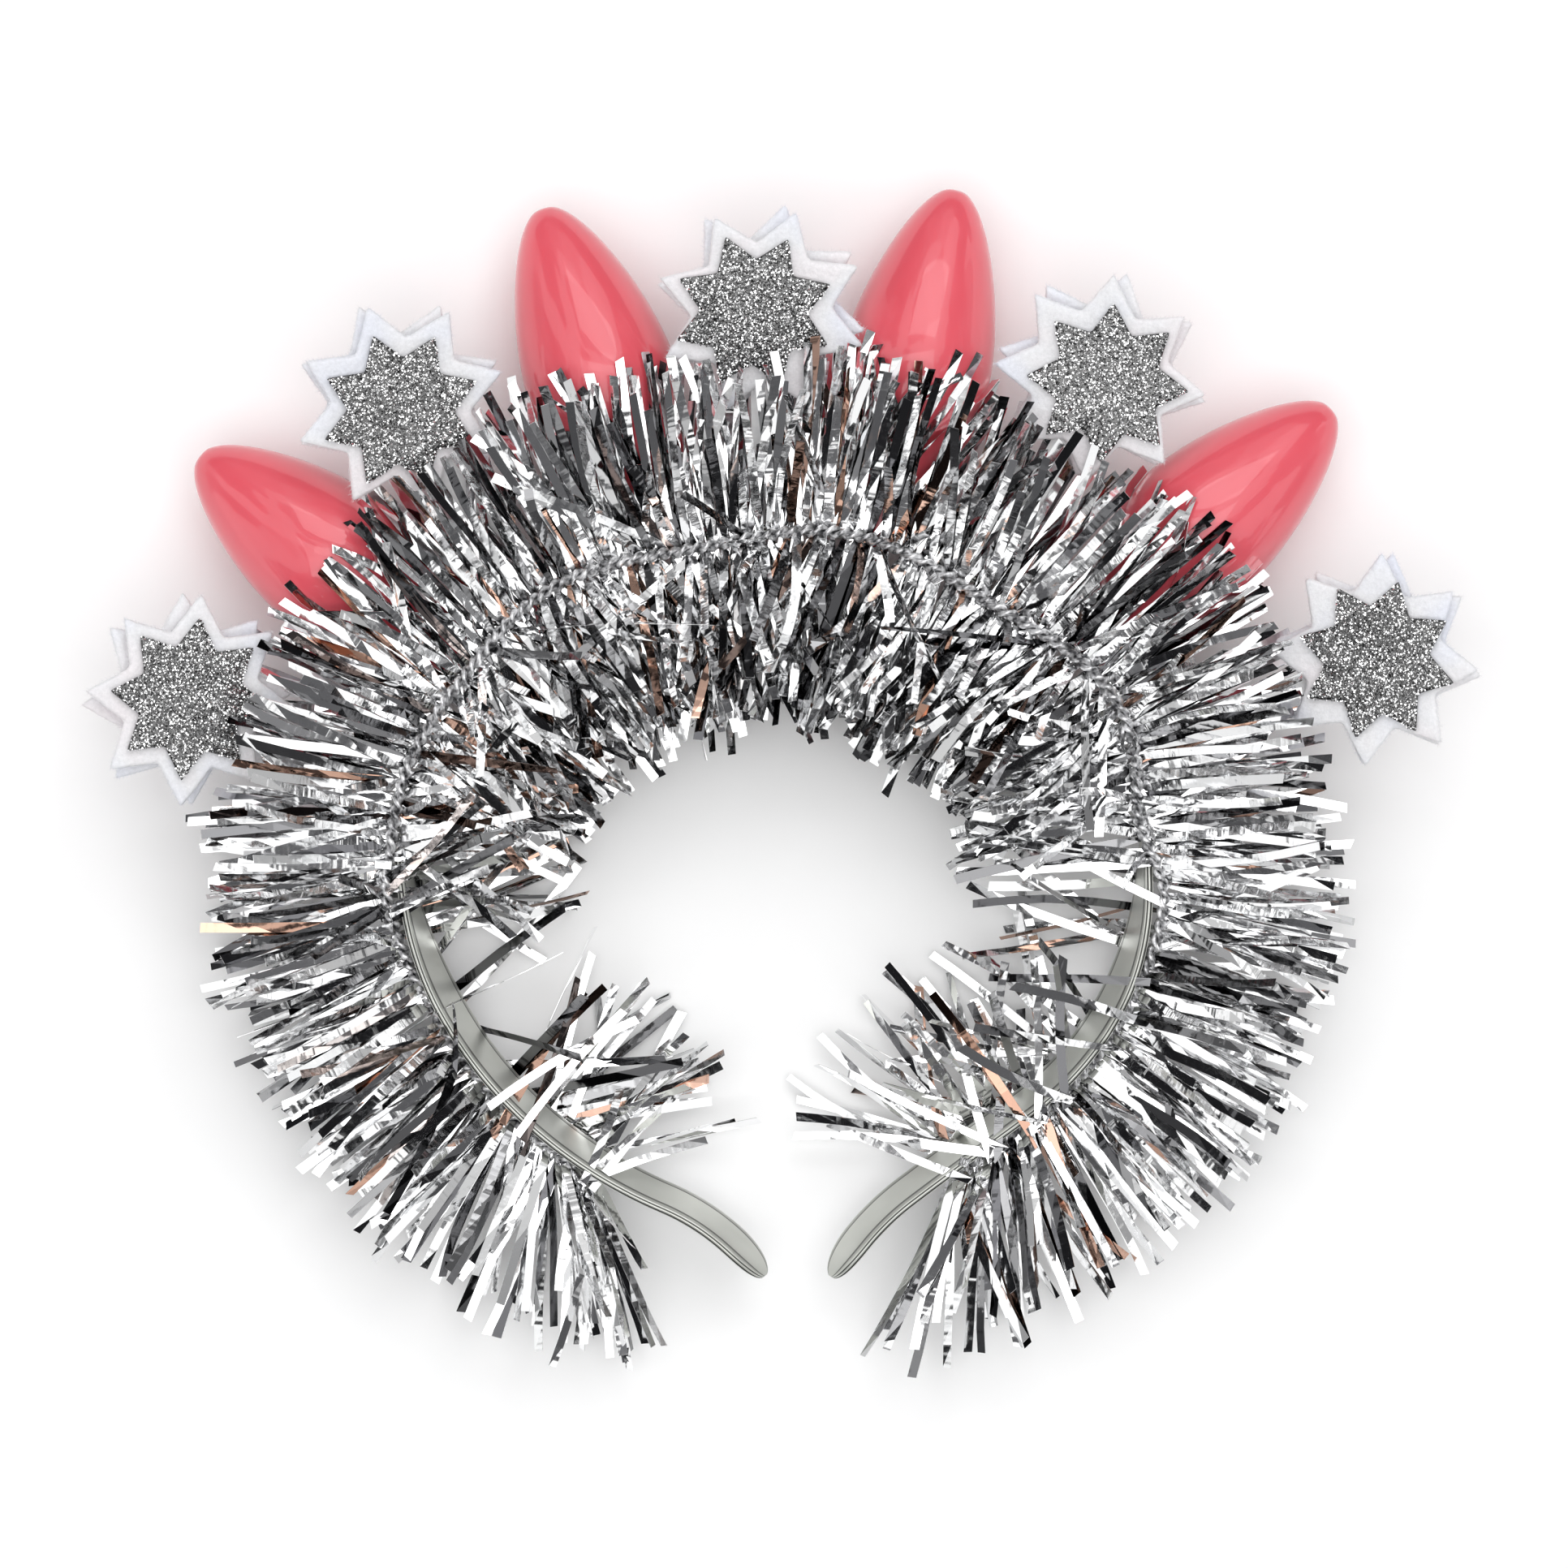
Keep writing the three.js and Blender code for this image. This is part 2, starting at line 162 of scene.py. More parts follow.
def distance_at(turn):
    """Distance along the band where it has turned by so many degrees from the crown."""
    size = abs(turn)
    on_crown = min(size / CROWN[1], 1) * CROWN[0]
    on_shoulder = max(size - CROWN[1], 0) / SHOULDER[1] * SHOULDER[0]
    return math.copysign((on_crown + on_shoulder) * ARCH, turn)


def seat(turn, clockwise, forward, height):
    """Matrix in millimetres: x along the band, y outwards, z to the front."""
    s = distance_at(turn)
    p, _, _, _, _ = axes(s)
    h = float(np.interp(s, PATH[:, 0], PATH[:, 3]))
    m = Matrix.Translation((p[0], p[1], height)) @ Matrix.Rotation(-h, 4, "Z")
    m = m @ Matrix.Translation((0, BAND_T / 2, 0)) @ Matrix.Rotation(-math.radians(clockwise), 4, "Z")
    return m @ Matrix.Rotation(math.radians(forward), 4, "X")


# Meshes
def add_mesh(
    name, verts, faces, material, smooth_shade=False, face_values=None, replaces=(), point_values=None,
):
    """verts in millimetres; faces an int array of triangles or quads, or a list of both."""
    mesh = bpy.data.meshes.new(name)
    verts = np.asarray(verts, np.float64) * MM
    groups = faces if isinstance(faces, list) else [faces]
    groups = [np.asarray(g, np.int32) for g in groups if len(g)]
    loops = np.concatenate([g.ravel() for g in groups])
    sizes = np.concatenate([np.full(len(g), g.shape[1]) for g in groups])
    starts = np.concatenate([[0], np.cumsum(sizes)[:-1]])
    mesh.vertices.add(len(verts))
    mesh.vertices.foreach_set("co", verts.ravel().astype(np.float32))
    mesh.loops.add(len(loops))
    mesh.loops.foreach_set("vertex_index", loops.astype(np.int32))
    mesh.polygons.add(len(sizes))
    mesh.polygons.foreach_set("loop_start", starts.astype(np.int32))
    for key, values in (face_values or {}).items():
        attribute = mesh.attributes.new(key, "FLOAT", "FACE")
        attribute.data.foreach_set("value", np.asarray(values, np.float32))
    for key, values in (point_values or {}).items():
        attribute = mesh.attributes.new(key, "FLOAT", "POINT")
        attribute.data.foreach_set("value", np.asarray(values, np.float32))
    mesh.update(calc_edges=True)
    mesh.validate()
    mesh.polygons.foreach_set("use_smooth", np.full(len(mesh.polygons), smooth_shade))
    mesh.materials.append(material)
    obj = bpy.data.objects.new(name, mesh)
    bpy.context.scene.collection.objects.link(obj)
    for node in replaces:
        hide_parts(node)
    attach(obj, "root")
    return obj


def grid_faces(rows, cols, closed_cols=True):
    """Quads of a rows x cols grid of points, its columns wrapping round."""
    r = np.arange(rows - 1)[:, None]
    c = np.arange(cols if closed_cols else cols - 1)[None, :]
    a = r * cols + c
    b = r * cols + (c + 1) % cols
    return np.stack([a, b, b + cols, a + cols], -1).reshape(-1, 4)


def apply(m, points):
    m = np.array(m)
    return points @ m[:3, :3].T + m[:3, 3]


# Materials
def new_material(name, slot=None):
    m = bpy.data.materials.new(name)
    m["slot"] = slot or name
    m.use_nodes = True
    m.node_tree.nodes.clear()
    out = m.node_tree.nodes.new("ShaderNodeOutputMaterial")
    bsdf = m.node_tree.nodes.new("ShaderNodeBsdfPrincipled")
    m.node_tree.links.new(bsdf.outputs[0], out.inputs["Surface"])
    return m, bsdf


def node(m, kind, **inputs):
    n = m.node_tree.nodes.new(kind)
    for key, value in inputs.items():
        key = key.replace("_", " ")
        if isinstance(value, bpy.types.NodeSocket):
            m.node_tree.links.new(value, n.inputs[key])
        else:
            n.inputs[key].default_value = value
    return n


def link(m, a, b):
    m.node_tree.links.new(a, b)


def ramp(m, fac, stops):
    r = m.node_tree.nodes.new("ShaderNodeValToRGB")
    link(m, fac, r.inputs[0])
    e = r.color_ramp.elements
    while len(e) < len(stops):
        e.new(0.5)
    for el, (pos, col) in zip(e, stops):
        el.position = pos
        el.color = (*col, 1) if len(col) == 3 else col
    return r.outputs[0]


def grey(value, blue=0.0):
    return (value, value, value + blue)


def multiplied(m, a, b):
    """The product of two colours."""
    mix = m.node_tree.nodes.new("ShaderNodeMix")
    mix.data_type, mix.blend_type = "RGBA", "MULTIPLY"
    mix.inputs[0].default_value = 1
    link(m, a, mix.inputs[6])
    link(m, b, mix.inputs[7])
    return mix.outputs[2]


def set_roughness(m, b, noise, low, high):
    rough = node(m, "ShaderNodeMapRange", Value=noise.outputs[0], To_Min=low, To_Max=high)
    link(m, rough.outputs[0], b.inputs["Roughness"])


def set_bumps(m, b, *layers):
    """Each layer is a height, a strength and a distance in metres, the coarsest one first."""
    normal = None
    for height, strength, distance in layers:
        bump = node(m, "ShaderNodeBump", Height=height, Strength=strength, Distance=distance)
        if normal is not None:
            link(m, normal, bump.inputs["Normal"])
        normal = bump.outputs[0]
    link(m, normal, b.inputs["Normal"])


def attribute(m, name):
    a = m.node_tree.nodes.new("ShaderNodeAttribute")
    a.attribute_name = name
    return a.outputs["Fac"]


def object_coords(m):
    return m.node_tree.nodes.new("ShaderNodeTexCoord").outputs["Object"]


def foil_material():
    m, b = new_material("foil")
    painted_reflection_tone = attribute(m, "painted_reflection_tone")
    tint = attribute(m, "tint")
    # Painted reflection: some strips are painted dark to stand for dark reflections, most are bright, and a
    # few are tinted warm
    silver_and_painted_dark = [
        (0, (0.07, 0.07, 0.075)), (0.16, (0.22, 0.22, 0.225)), (0.24, (0.78, 0.785, 0.79)),
        (1, (0.97, 0.97, 0.975)),
    ]
    copper = [(0, (1, 1, 1)), (0.955, (1, 1, 1)), (0.965, (0.62, 0.4, 0.31)), (1, (0.5, 0.3, 0.22))]
    link(m, multiplied(m, ramp(m, painted_reflection_tone, silver_and_painted_dark), ramp(m, tint, copper)), b.inputs["Base Color"])
    b.inputs["Metallic"].default_value = 1
    fine = node(m, "ShaderNodeTexNoise", Vector=object_coords(m), Scale=1500.0, Detail=2.0)
    set_roughness(m, b, fine, 0.03, 0.12)
    # Faint creases run across each strip
    crease = m.node_tree.nodes.new("ShaderNodeTexNoise")
    crease.noise_dimensions = "1D"
    link(m, attribute(m, "run"), crease.inputs["W"])
    crease.inputs["Scale"].default_value = 0.55
    crease.inputs["Detail"].default_value = 1.0
    set_bumps(m, b, (crease.outputs[0], 0.6, 0.00005), (fine.outputs[0], 0.08, 0.00002))
    return m


def thread_material():
    m, b = new_material("core_thread", "foil")
    co = object_coords(m)
    n = node(m, "ShaderNodeTexNoise", Vector=co, Scale=900.0, Detail=3.0)
    tones = [(0.35, (0.06, 0.06, 0.065)), (0.5, (0.5, 0.5, 0.51)), (0.65, (0.9, 0.9, 0.91))]
    link(m, ramp(m, n.outputs[0], tones), b.inputs["Base Color"])
    b.inputs["Metallic"].default_value = 0.7
    b.inputs["Roughness"].default_value = 0.35
    set_bumps(m, b, (n.outputs[0], 0.5, 0.0002))
    return m


def band_material():
    m, b = new_material("silvered_plastic")
    co = object_coords(m)
    big = node(m, "ShaderNodeTexNoise", Vector=co, Scale=60.0, Detail=3.0)
    fine = node(m, "ShaderNodeTexNoise", Vector=co, Scale=1500.0, Detail=4.0)
    plain = ramp(m, big.outputs[0], [(0.3, (0.55, 0.56, 0.52)), (0.7, (0.7, 0.71, 0.665))])
    # Painted shade and painted dark reflection: faces in the section's grooves and on the rim are darkened
    painted_groove_shade = ramp(m, attribute(m, "painted_groove_shade"), [(0, (1, 1, 1)), (0.5, (0.5, 0.5, 0.5)), (1, (0.05, 0.05, 0.05))])
    link(m, multiplied(m, plain, painted_groove_shade), b.inputs["Base Color"])
    b.inputs["Metallic"].default_value = 0.7
    set_roughness(m, b, fine, 0.36, 0.42)
    set_bumps(m, b, (big.outputs[0], 0.2, 0.0006), (fine.outputs[0], 0.05, 0.00002))
    return m


def bulb_material():
    m, b = new_material("pink_plastic")
    co = object_coords(m)
    big = node(m, "ShaderNodeTexNoise", Vector=co, Scale=45.0, Detail=2.0)
    fine = node(m, "ShaderNodeTexNoise", Vector=co, Scale=420.0, Detail=4.0)
    pinks = [(0.25, (0.71, 0.09, 0.12)), (0.75, (0.77, 0.11, 0.144))]
    link(m, ramp(m, big.outputs[0], pinks), b.inputs["Base Color"])
    set_roughness(m, b, fine, 0.26, 0.34)
    b.inputs["Specular IOR Level"].default_value = 0.4
    b.inputs["Subsurface Weight"].default_value = 0.25
    b.inputs["Subsurface Radius"].default_value = (0.004, 0.0015, 0.0012)
    b.inputs["Subsurface Scale"].default_value = 1.0
    b.inputs["Coat Weight"].default_value = 0.7
    b.inputs["Coat Roughness"].default_value = 0.05
    set_bumps(m, b, (big.outputs[0], 0.06, 0.001), (fine.outputs[0], 0.03, 0.0002))
    return m


def felt_material():
    m, b = new_material("felt")
    co = object_coords(m)
    tints = node(m, "ShaderNodeTexNoise", Vector=co, Scale=70.0, Detail=2.0)
    fibre = node(m, "ShaderNodeTexNoise", Vector=co, Scale=1600.0, Detail=6.0, Roughness=0.7)
    lumps = node(m, "ShaderNodeTexNoise", Vector=co, Scale=420.0, Detail=4.0)
    whites = [(0.3, (0.8, 0.82, 0.9)), (0.5, (0.85, 0.85, 0.87)), (0.7, (0.88, 0.83, 0.85))]
    base = ramp(m, tints.outputs[0], whites)
    shade = ramp(m, fibre.outputs[0], [(0.3, (0.86, 0.86, 0.86)), (0.65, (1, 1, 1))])
    link(m, multiplied(m, base, shade), b.inputs["Base Color"])
    b.inputs["Roughness"].default_value = 0.95
    b.inputs["Sheen Weight"].default_value = 0.4
    b.inputs["Sheen Roughness"].default_value = 0.5
    set_bumps(m, b, (lumps.outputs[0], 0.6, 0.0005), (fibre.outputs[0], 0.5, 0.0002))
    return m


def glitter_material():
    m, b = new_material("glitter")
    co = object_coords(m)
    cells = node(m, "ShaderNodeTexVoronoi", Vector=co, Scale=2600.0)
    # Painted reflection: low tones paint flakes and the plate dark, standing for dark reflections; high tones
    # are plain bright mirror
    tones = [(0, grey(0.04)), (0.26, grey(0.16)), (0.34, grey(0.88, blue=0.01)), (0.5, grey(1.0))]
    link(m, ramp(m, attribute(m, "painted_reflection_tone"), tones), b.inputs["Base Color"])
    b.inputs["Metallic"].default_value = 1
    b.inputs["Roughness"].default_value = 0.14
    set_bumps(m, b, (cells.outputs["Distance"], 0.3, 0.0001))
    return m


def post_material():
    m, b = new_material("post_plastic")
    n = node(m, "ShaderNodeTexNoise", Vector=object_coords(m), Scale=700.0, Detail=3.0)
    link(m, ramp(m, n.outputs[0], [(0.3, grey(0.74, blue=0.01)), (0.7, grey(0.84))]), b.inputs["Base Color"])
    b.inputs["Roughness"].default_value = 0.6
    set_bumps(m, b, (n.outputs[0], 0.2, 0.0002))
    return m


FOIL, THREAD, BAND, PINK = foil_material(), thread_material(), band_material(), bulb_material()
FELT, GLITTER, POST = felt_material(), glitter_material(), post_material()


# Band
def make_band():
    n = 420
    s = np.linspace(-LEN_L, LEN_R, n)
    ends = np.array([0.25, 0.6, 1.0, 1.6, 2.4, 3.4])
    s = np.sort(np.concatenate([s[1:-1], [-LEN_L, LEN_R], -LEN_L + ends, LEN_R - ends]))
    t, w = BAND_T / 2, BAND_W / 2
    # A quarter of the section: half of the face, the rounded rim, and the edge with its groove
    quarter = np.array([
        (1, 0), (1, 0.4), (1, 0.7), (0.93, 0.79), (1, 0.87), (0.86, 0.97), (0.66, 0.985), (0.46, 0.9),
        (0.28, 0.985), (0.14, 1.0),
    ])
    # Painted shade and painted dark reflection for each face of the quarter: the grooves and the rim are
    # painted dark
    shade = [0, 0, 0.75, 0.3, 0.05, 0.05, 1, 0.9, 0, 0]
    ring = np.vstack([quarter, quarter[::-1] * [-1, 1], quarter[1:] * [-1, -1], quarter[:0:-1] * [1, -1]])
    painted_groove_shade = np.array(shade[:9] + [0.1] + shade[8::-1] + shade[:9] + [0.1] + shade[8::-1])
    side = np.abs(s)
    to_end = np.where(s < 0, LEN_L - side, LEN_R - side)
    share = np.clip(1 - to_end / 8.0, 0, 1)
    width = np.sqrt(np.maximum(1 - (1 - 0.12**2) * share**2, 0))
    thick = 1 - 0.45 * share**6
    p, u, v, _, _ = axes(s)
    pts = p[:, None] + u[:, None] * (ring[None, :, :1] * t * thick[:, None, None])
    pts = pts + v[:, None] * (ring[None, :, 1:] * w * width[:, None, None])
    k = len(ring)
    verts = pts.reshape(-1, 3)
    faces = grid_faces(len(s), k)
    caps = [np.arange(k)[::-1][None], (len(verts) - k + np.arange(k))[None]]
    shades = np.concatenate([np.tile(painted_groove_shade, len(s) - 1), [0, 0]])
    return add_mesh("headband_shell", verts, [faces, *caps], BAND, True, {"painted_groove_shade": shades}, ["headband"])


# Bulbs
def spline(points, n):
    """Catmull-Rom curve through the points, in 2-D, evenly spread over their chords."""
    p = np.array(points, float)
    p = np.vstack([2 * p[0] - p[1], p, p[-1] + [0.0, -(p[-2][1] - p[-1][1])]])
    out = []
    per = n // (len(points) - 1)
    for i in range(1, len(p) - 2):
        t = np.linspace(0, 1, per, endpoint=False)[:, None]
        a, b, c, d = p[i - 1], p[i], p[i + 1], p[i + 2]
        square, cube = 2 * a - 5 * b + 4 * c - d, 3 * b - a - 3 * c + d
        out.append(0.5 * (2 * b + (c - a) * t + square * t**2 + cube * t**3))
    return np.vstack(out + [p[-2][None]])


def bulb_radius(up):
    """The bulb's radius at a share of its length, round at the tip."""
    ups = np.array([a for a, _ in PROFILE])
    wides = np.array([b for _, b in PROFILE])
    fine = spline(list(zip(ups, wides**2)), 130)
    return BULB_R * np.sqrt(np.maximum(np.interp(up, fine[:, 0], fine[:, 1]), 0))


def make_bulb(i, turn, lean, stands):
    foot = GAP + PROFILE[0][1] * BULB_R * math.sin(abs(math.radians(lean)))
    up = np.concatenate([np.linspace(0, 0.9, 60), 0.9 + 0.1 * np.sin(np.linspace(0, math.pi / 2, 18))[1:-1]])
    r = bulb_radius(up)
    y = foot + up * (BULB_L * stands - foot)
    # Soft lower rim, then the wall up to the tip
    rim = [(r[0] - 0.9, foot), (r[0] - 0.45, foot + 0.06), (r[0] - 0.12, foot + 0.35)]
    r = np.concatenate([[a for a, _ in rim], r[1:]])
    y = np.concatenate([[b for _, b in rim], y[1:]])
    k = 72
    a = np.linspace(0, 2 * math.pi, k, endpoint=False)
    rings = [r[:, None] * np.cos(a), np.repeat(y[:, None], k, 1), -r[:, None] * np.sin(a)]
    verts = np.stack(rings, -1).reshape(-1, 3)
    top = len(verts)
    verts = np.vstack([verts, [[0, BULB_L * stands, 0]], [[0, foot, 0]]])
    last = top - k + np.arange(k)
    first = np.arange(k)
    cap = np.stack([last, np.roll(last, -1), np.full(k, top)], -1)
    base = np.stack([np.roll(first, -1), first, np.full(k, top + 1)], -1)
    verts = apply(seat(turn, lean, 0, MID_Z), verts)
    faces = [grid_faces(len(r), k), cap, base]
    return add_mesh(f"ornament_bulb_{i}", verts, faces, PINK, True, replaces=[f"bulb_{i}"])


# Stars
def star_outline(radius, spin, n=12, soft=0.6):
    """Points round a star, its corners slightly worn, as an array."""
    corners = []
    for i in range(16):
        a = math.radians(spin) + math.pi * i / 8
        r = radius if i % 2 == 0 else radius * VALLEY
        corners.append((r * math.cos(a), r * math.sin(a)))
    corners = np.array(corners)
    pts = []
    for a, b in zip(corners, np.roll(corners, -1, 0)):
        t = np.linspace(0, 1, n, endpoint=False)[:, None]
        pts.append(a + (b - a) * t)
    pts = np.vstack(pts)
    # Wear the corners: average near them
    for _ in range(2):
        pts = pts * (1 - soft / 2) + (np.roll(pts, 1, 0) + np.roll(pts, -1, 0)) * soft / 4
    return pts


def warp(x, y, phase):
    """A gentle common bend of one star's layers."""
    return 0.25 * np.sin(x * 0.11 + phase) + 0.2 * np.sin(y * 0.13 + 2 * phase)


def plate(outline, low, high, rings, phase, centre=(0, 0), ragged=0.0, seed=0):
    """A flat plate with rounded rims, as points and faces: two faces of rings meeting at the rim."""
    local = np.random.default_rng(seed)
    k = len(outline)
    if ragged:
        outline = outline * (1 + ragged * local.standard_normal(k)[:, None] / 17)
    thick = high - low
    shares = 1 - np.array([0.0, 0.012, 0.035, 0.07, 0.14, 0.28, 0.45, 0.65, 0.85])[:rings]
    drop = np.array([0.5, 0.22, 0.08, 0.0, 0.0, 0.0, 0.0, 0.0, 0.0])[:rings] * thick
    rows = []
    for sh, d in zip(shares[::-1], drop[::-1]):
        rows.append(np.column_stack([outline * sh, np.full(k, high - d)]))
    for sh, d in list(zip(shares, drop))[1:]:
        rows.append(np.column_stack([outline * sh, np.full(k, low + d)]))
    pts = np.vstack(rows)
    pts = np.vstack([pts, [[0, 0, high]], [[0, 0, low]]])
    pts[:, 0] += centre[0]
    pts[:, 1] += centre[1]
    pts[:, 2] += warp(pts[:, 0], pts[:, 1], phase)
    quads = grid_faces(len(rows), k)[:, ::-1]
    top, bottom = len(pts) - 2, len(pts) - 1
    first, last = np.arange(k), (len(rows) - 1) * k + np.arange(k)
    cap = np.stack([first, np.roll(first, -1), np.full(k, top)], -1)
    base = np.stack([np.roll(last, -1), last, np.full(k, bottom)], -1)
    return pts, quads, np.vstack([cap, base])


def fuzz(outline, low, high, phase, seed, count=1500):
    """Short felt fibres standing out of the rim, as flat slivers."""
    local = np.random.default_rng(seed)
    i = local.integers(0, len(outline), count)
    base = outline[i]
    radial = base / np.linalg.norm(base, axis=1)[:, None]
    z = local.uniform(low + 0.1, high - 0.1, count)
    start = np.column_stack([base * 0.995, z])
    out = np.column_stack([radial, local.normal(0, 0.5, count)])
    out[:, :2] += local.normal(0, 0.7, (count, 2))
    out /= np.linalg.norm(out, axis=1)[:, None]
    length = local.uniform(0.25, 0.95, count)[:, None]
    bend = local.normal(0, 0.35, (count, 3))
    mid = start + out * length * 0.5
    end = start + (out + bend * 0.7) * length
    side = np.cross(out, local.normal(0, 1, (count, 3)))
    side /= np.linalg.norm(side, axis=1)[:, None]
    w = 0.022
    verts = np.stack([start - side * w, start + side * w, mid - side * w * 0.8, mid + side * w * 0.8, end], 1)
    verts = verts.reshape(-1, 3)
    verts[:, 2] += warp(verts[:, 0], verts[:, 1], phase)
    o = (np.arange(count) * 5)[:, None]
    return verts, o + [0, 1, 3, 2], o + [2, 3, 4]


def make_star(i, row):
    turn, reach, front, back, glitter, aside, out = row
    m = seat(turn, 0, STAR_LEAN, MID_Z + STAR_SEAT) @ Matrix.Translation((0, reach * REACH, 0))
    floor_ = POST_T / 2 + GAP
    top = floor_ + FELT_T
    phase = 1.3 * i
    for side, spin, low, high in (("front", front, floor_, top), ("back", back, -top, -floor_)):
        outline = star_outline(FELT_R, spin)
        pts, quads, tris = plate(outline, low, high, 9, phase, ragged=0.06, seed=10 * i + len(side))
        fv, fq, ft = fuzz(outline, low, high, phase, 100 * i + len(side))
        n = len(pts)
        verts = apply(m, np.vstack([pts, fv]))
        faces = [np.vstack([quads, fq + n]), np.vstack([tris, ft + n])]
        felt = add_mesh(f"felt_star_{i}_{side}", verts, faces, FELT, True, replaces=[f"star_{i}_{side}"])
    centre = (aside * FELT_R, out * FELT_R)
    outline = star_outline(GLITTER_R, glitter, soft=0.4)
    low = top + GAP
    pts, quads, tris = plate(outline, low, low + GLITTER_T, 9, phase, centre)
    # Flakes lie on the upper face, each tipped its own way
    local = np.random.default_rng(50 + i)
    share = np.sqrt(local.uniform(0, 1, FLAKES))[:, None]
    j = local.integers(0, len(outline), FLAKES)
    f = local.uniform(0, 1, FLAKES)[:, None]
    edge = outline[j] * (1 - f) + np.roll(outline, -1, 0)[j] * f
    spot = np.column_stack([edge * share, np.full(FLAKES, low + GLITTER_T - 0.02)])
    spot[:, :2] += centre
    spot[:, 2] += warp(spot[:, 0], spot[:, 1], phase) + local.uniform(0, 0.16, FLAKES)
    normal = np.column_stack([local.normal(0, 0.6, (FLAKES, 2)), np.ones(FLAKES)])
    normal /= np.linalg.norm(normal, axis=1)[:, None]
    a = np.cross(normal, local.normal(0, 1, (FLAKES, 3)))
    a /= np.linalg.norm(a, axis=1)[:, None]
    b = np.cross(normal, a)
    size = local.uniform(FLAKE_SMALL, FLAKE_LARGE, FLAKES)[:, None]
    flakes = np.stack([spot + a * size, spot + b * size, spot - a * size, spot - b * size], 1).reshape(-1, 3)
    n = len(pts)
    fq = (np.arange(FLAKES) * 4)[:, None] + [0, 1, 2, 3] + n
    verts = apply(m, np.vstack([pts, flakes]))
    # The plate and each flake get a tone; low tones are painted dark reflections
    painted_reflection_tone = np.concatenate([np.full(len(quads), 0.15), local.uniform(0, 1, FLAKES), np.full(len(tris), 0.15)])
    add_mesh(f"glitter_star_{i}", verts, [np.vstack([quads, fq]), tris], GLITTER, False, {"painted_reflection_tone": painted_reflection_tone},
             replaces=[f"star_{i}_glitter"])
    post = frame["nodes"][f"star_{i}_post"]
    post.data.materials.clear()
    post.data.materials.append(POST)


# Tinsel
GARLAND_FROM, GARLAND_TO = BARE_L - LEN_L, LEN_R - BARE_R
SEGMENTS = 8
SHARES = np.linspace(0, 1, SEGMENTS + 1)
STRIP_W, STRIP_T = 1.5, 0.06
PER_MM = 6.6  # strips for each millimetre of the core
FAN, FAN_L = 58.0, 22.0


def unit(v):
    return v / np.maximum(np.linalg.norm(v, axis=-1, keepdims=True), 1e-9)


bulb_seats = []
star_seats = []
for turn, lean, stands in BULBS:
    foot = GAP + PROFILE[0][1] * BULB_R * math.sin(abs(math.radians(lean)))
    m = seat(turn, lean, 0, MID_Z)
    bulb_seats.append((np.array(m.inverted()), np.array(m), foot, BULB_L * stands - foot))
for turn, reach, *_ in STARS:
    m = seat(turn, 0, STAR_LEAN, MID_Z + STAR_SEAT) @ Matrix.Translation((0, reach * REACH, 0))
    star_seats.append((np.array(m.inverted()), np.array(m)))


def clear_bulbs(p, room=0.9):
    """Points inside a bulb move out to its wall."""
    flat = p.reshape(-1, 3)
    for inv, fwd, foot, tall in bulb_seats:
        q = flat @ inv[:3, :3].T + inv[:3, 3]
        up = (q[:, 1] - foot) / tall
        wall = bulb_radius(np.clip(up, 0, 1)) + room
        r = np.hypot(q[:, 0], q[:, 2])
        inside = (up > -0.01) & (up < 1.03) & (r < wall)
        k = np.where(inside, wall / np.maximum(r, 1e-6), 1)
        q[:, 0] *= k
        q[:, 2] *= k
        moved = q @ fwd[:3, :3].T + fwd[:3, 3]
        flat = np.where(inside[:, None], moved, flat)
    return flat.reshape(p.shape)


def clear_stars(p, room=0.7):
    """A strip that meets a star lies wholly over or under it, on the side where its end is."""
    low, high = -(POST_T / 2 + GAP + FELT_T) - room, POST_T / 2 + 2 * GAP + FELT_T + GLITTER_T + 0.3 + room
    shape = p.shape
    for inv, fwd in star_seats:
        q = p.reshape(-1, 3) @ inv[:3, :3].T + inv[:3, 3]
        q = q.reshape(shape)
        inside = (np.hypot(q[..., 0], q[..., 1]) < FELT_R + room) & (q[..., 2] > low) & (q[..., 2] < high)
        hit = inside.any(1)
        over = q[:, -1, 2] > (low + high) / 2
        side = np.where(over, high, low)[:, None]
        near = np.hypot(q[..., 0], q[..., 1]) < FELT_R + 2.5
        wanted = np.where(over[:, None], np.maximum(q[..., 2], side), np.minimum(q[..., 2], side))
        q[..., 2] = np.where(near & hit[:, None], wanted, q[..., 2])
        moved = (q.reshape(-1, 3) @ fwd[:3, :3].T + fwd[:3, 3]).reshape(shape)
        p = np.where(hit[:, None, None], moved, p)
    return p


# How many of the strips that lean inwards are there, by distance from the crown's middle
INWARD_LEFT = [(0, 1), (92, 0.85), (108, 0.6), (114, 0.16), (132, 0.14), (140, 0.55), (170, 0.55)]
INWARD_RIGHT = [(0, 1), (84, 0.85), (94, 0.5), (100, 0.14), (126, 0.16), (136, 0.6), (170, 0.6)]


